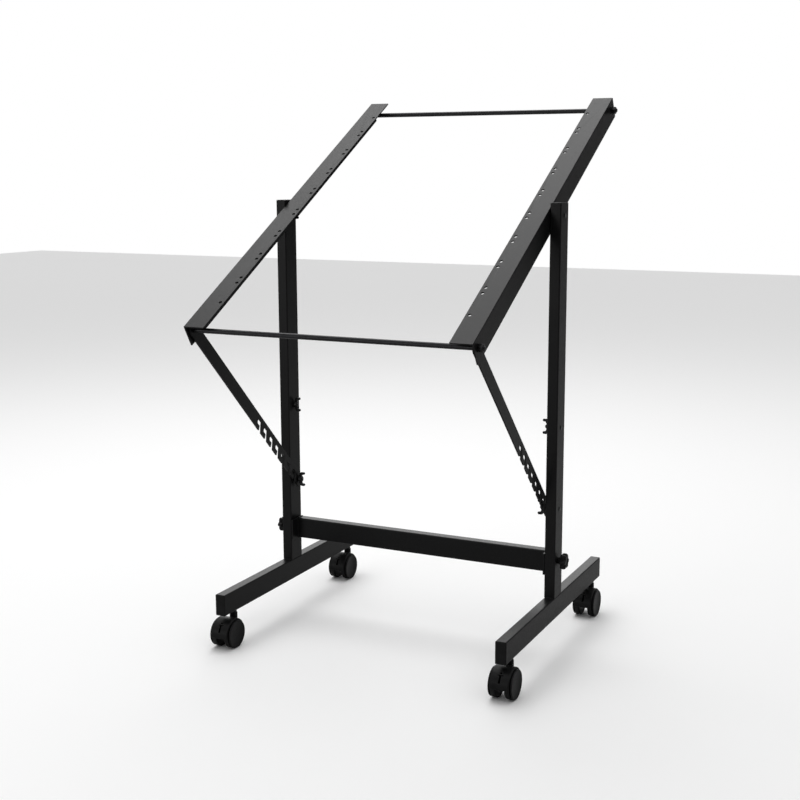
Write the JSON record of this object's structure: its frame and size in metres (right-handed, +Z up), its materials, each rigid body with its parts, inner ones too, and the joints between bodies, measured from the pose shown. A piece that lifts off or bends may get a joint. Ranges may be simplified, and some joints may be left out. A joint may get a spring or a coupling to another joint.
{
  "type": "tilting rack stand",
  "caption": "Rolling stand with tilting angle rails for rack equipment, notched support struts, rectangular tube frame and hooded swivel casters.",
  "frame": {"origin": "on the floor, midway between the uprights, at the middle of their depth and of the feet's length", "axes": "+X to the right-hand upright, -Y to the low front end of the rails, +Z up"},
  "size_m": [0.605, 0.7128, 1.0113],
  "materials": {
    "powder_coat": "satin black powder coat with a fine texture",
    "black_plastic": "moulded black plastic",
    "wheel_plastic": "satin dark nylon",
    "black_steel": "black oxide steel"
  },
  "bodies": {
    "base_frame": {"bolt_lower_left": "black_steel", "bolt_lower_right": "black_steel", "bolt_pivot_left": "black_steel", "bolt_pivot_right": "black_steel", "bolt_spacer_left": "black_steel", "bolt_spacer_right": "black_steel", "bolt_upper_left": "black_steel", "bolt_upper_right": "black_steel", "caster_stem_front_left": "black_steel", "caster_stem_front_right": "black_steel", "caster_stem_rear_left": "black_steel", "caster_stem_rear_right": "black_steel", "crossbar_plate_left": "powder_coat", "crossbar_plate_right": "powder_coat", "crossbar_tube": "powder_coat", "foot_cap_front_left": "black_plastic", "foot_cap_front_right": "black_plastic", "foot_cap_rear_left": "black_plastic", "foot_cap_rear_right": "black_plastic", "foot_tube_left": "powder_coat", "foot_tube_right": "powder_coat", "upright_cap_left": "black_plastic", "upright_cap_right": "black_plastic", "upright_tube_left": "powder_coat", "upright_tube_right": "powder_coat"},
    "tilt_frame": {"rack_rail_left": "powder_coat", "rack_rail_right": "powder_coat", "tie_rod_lower": "black_steel", "tie_rod_nut_lower_left": "black_steel", "tie_rod_nut_lower_right": "black_steel", "tie_rod_nut_upper_left": "black_steel", "tie_rod_nut_upper_right": "black_steel", "tie_rod_upper": "black_steel"},
    "strut_left": {"strut_left": "powder_coat"},
    "star_knob_left": {"star_knob_left": "black_plastic"},
    "wing_nut_pivot_left": {"wing_nut_pivot_left": "black_steel"},
    "wing_nut_upper_left": {"wing_nut_upper_left": "black_steel"},
    "wing_nut_lower_left": {"wing_nut_lower_left": "black_steel"},
    "strut_right": {"strut_right": "powder_coat"},
    "star_knob_right": {"star_knob_right": "black_plastic"},
    "wing_nut_pivot_right": {"wing_nut_pivot_right": "black_steel"},
    "wing_nut_upper_right": {"wing_nut_upper_right": "black_steel"},
    "wing_nut_lower_right": {"wing_nut_lower_right": "black_steel"},
    "caster_front_left": {"caster_hood_front_left": "black_plastic", "caster_axle_front_left": "black_steel"},
    "wheel_front_left_outer": {"caster_wheel_front_left_outer": "wheel_plastic"},
    "wheel_front_left_inner": {"caster_wheel_front_left_inner": "wheel_plastic"},
    "caster_front_right": {"caster_hood_front_right": "black_plastic", "caster_axle_front_right": "black_steel"},
    "wheel_front_right_outer": {"caster_wheel_front_right_outer": "wheel_plastic"},
    "wheel_front_right_inner": {"caster_wheel_front_right_inner": "wheel_plastic"},
    "caster_rear_left": {"caster_hood_rear_left": "black_plastic", "caster_axle_rear_left": "black_steel"},
    "wheel_rear_left_outer": {"caster_wheel_rear_left_outer": "wheel_plastic"},
    "wheel_rear_left_inner": {"caster_wheel_rear_left_inner": "wheel_plastic"},
    "caster_rear_right": {"caster_hood_rear_right": "black_plastic", "caster_axle_rear_right": "black_steel"},
    "wheel_rear_right_outer": {"caster_wheel_rear_right_outer": "wheel_plastic"},
    "wheel_rear_right_inner": {"caster_wheel_rear_right_inner": "wheel_plastic"}
  },
  "joints": [
    {"name": "rails_tilt", "type": "hinge", "parent": "base_frame", "child": "tilt_frame", "pos_m": [0, 0, 0.794], "axis": [-1, 0, 0], "range_deg": [0, 30]},
    {"name": "strut_swing_left", "type": "hinge", "parent": "tilt_frame", "child": "strut_left", "pos_m": [-0.26045, -0.33305, 0.60287], "axis": [1, 0, 0], "range_deg": [0, 24]},
    {"name": "strut_swing_right", "type": "hinge", "parent": "tilt_frame", "child": "strut_right", "pos_m": [0.26045, -0.33305, 0.60287], "axis": [1, 0, 0], "range_deg": [0, 24]},
    {"name": "knob_turn_left", "type": "hinge", "parent": "base_frame", "child": "star_knob_left", "pos_m": [-0.297, 0, 0.1719], "axis": [-1, 0, 0], "continuous": true},
    {"name": "wing_nut_turn_pivot_left", "type": "hinge", "parent": "base_frame", "child": "wing_nut_pivot_left", "pos_m": [-0.26, 0, 0.794], "axis": [1, 0, 0], "continuous": true},
    {"name": "wing_nut_turn_upper_left", "type": "hinge", "parent": "base_frame", "child": "wing_nut_upper_left", "pos_m": [-0.26, 0, 0.4185], "axis": [1, 0, 0], "continuous": true},
    {"name": "wing_nut_turn_lower_left", "type": "hinge", "parent": "base_frame", "child": "wing_nut_lower_left", "pos_m": [-0.26, 0, 0.2685], "axis": [1, 0, 0], "continuous": true},
    {"name": "knob_turn_right", "type": "hinge", "parent": "base_frame", "child": "star_knob_right", "pos_m": [0.297, 0, 0.1719], "axis": [1, 0, 0], "continuous": true},
    {"name": "wing_nut_turn_pivot_right", "type": "hinge", "parent": "base_frame", "child": "wing_nut_pivot_right", "pos_m": [0.26, 0, 0.794], "axis": [-1, 0, 0], "continuous": true},
    {"name": "wing_nut_turn_upper_right", "type": "hinge", "parent": "base_frame", "child": "wing_nut_upper_right", "pos_m": [0.26, 0, 0.4185], "axis": [-1, 0, 0], "continuous": true},
    {"name": "wing_nut_turn_lower_right", "type": "hinge", "parent": "base_frame", "child": "wing_nut_lower_right", "pos_m": [0.26, 0, 0.2685], "axis": [-1, 0, 0], "continuous": true},
    {"name": "swivel_front_left", "type": "hinge", "parent": "base_frame", "child": "caster_front_left", "pos_m": [-0.27615, -0.215, 0.05], "axis": [0, 0, 1], "continuous": true},
    {"name": "roll_front_left_outer", "type": "hinge", "parent": "caster_front_left", "child": "wheel_front_left_outer", "pos_m": [-0.2614, -0.236, 0.026], "axis": [1, 0, 0], "continuous": true},
    {"name": "roll_front_left_inner", "type": "hinge", "parent": "caster_front_left", "child": "wheel_front_left_inner", "pos_m": [-0.2909, -0.236, 0.026], "axis": [1, 0, 0], "continuous": true},
    {"name": "swivel_front_right", "type": "hinge", "parent": "base_frame", "child": "caster_front_right", "pos_m": [0.27615, -0.215, 0.05], "axis": [0, 0, 1], "continuous": true},
    {"name": "roll_front_right_outer", "type": "hinge", "parent": "caster_front_right", "child": "wheel_front_right_outer", "pos_m": [0.2909, -0.236, 0.026], "axis": [1, 0, 0], "continuous": true},
    {"name": "roll_front_right_inner", "type": "hinge", "parent": "caster_front_right", "child": "wheel_front_right_inner", "pos_m": [0.2614, -0.236, 0.026], "axis": [1, 0, 0], "continuous": true},
    {"name": "swivel_rear_left", "type": "hinge", "parent": "base_frame", "child": "caster_rear_left", "pos_m": [-0.27615, 0.229, 0.05], "axis": [0, 0, 1], "continuous": true},
    {"name": "roll_rear_left_outer", "type": "hinge", "parent": "caster_rear_left", "child": "wheel_rear_left_outer", "pos_m": [-0.2614, 0.208, 0.026], "axis": [1, 0, 0], "continuous": true},
    {"name": "roll_rear_left_inner", "type": "hinge", "parent": "caster_rear_left", "child": "wheel_rear_left_inner", "pos_m": [-0.2909, 0.208, 0.026], "axis": [1, 0, 0], "continuous": true},
    {"name": "swivel_rear_right", "type": "hinge", "parent": "base_frame", "child": "caster_rear_right", "pos_m": [0.27615, 0.229, 0.05], "axis": [0, 0, 1], "continuous": true},
    {"name": "roll_rear_right_outer", "type": "hinge", "parent": "caster_rear_right", "child": "wheel_rear_right_outer", "pos_m": [0.2909, 0.208, 0.026], "axis": [1, 0, 0], "continuous": true},
    {"name": "roll_rear_right_inner", "type": "hinge", "parent": "caster_rear_right", "child": "wheel_rear_right_inner", "pos_m": [0.2614, 0.208, 0.026], "axis": [1, 0, 0], "continuous": true}
  ],
  "couplings": [
    {"joint": "strut_swing_left", "follows": "rails_tilt", "ratio": 0.8},
    {"joint": "strut_swing_right", "follows": "rails_tilt", "ratio": 0.8}
  ]
}
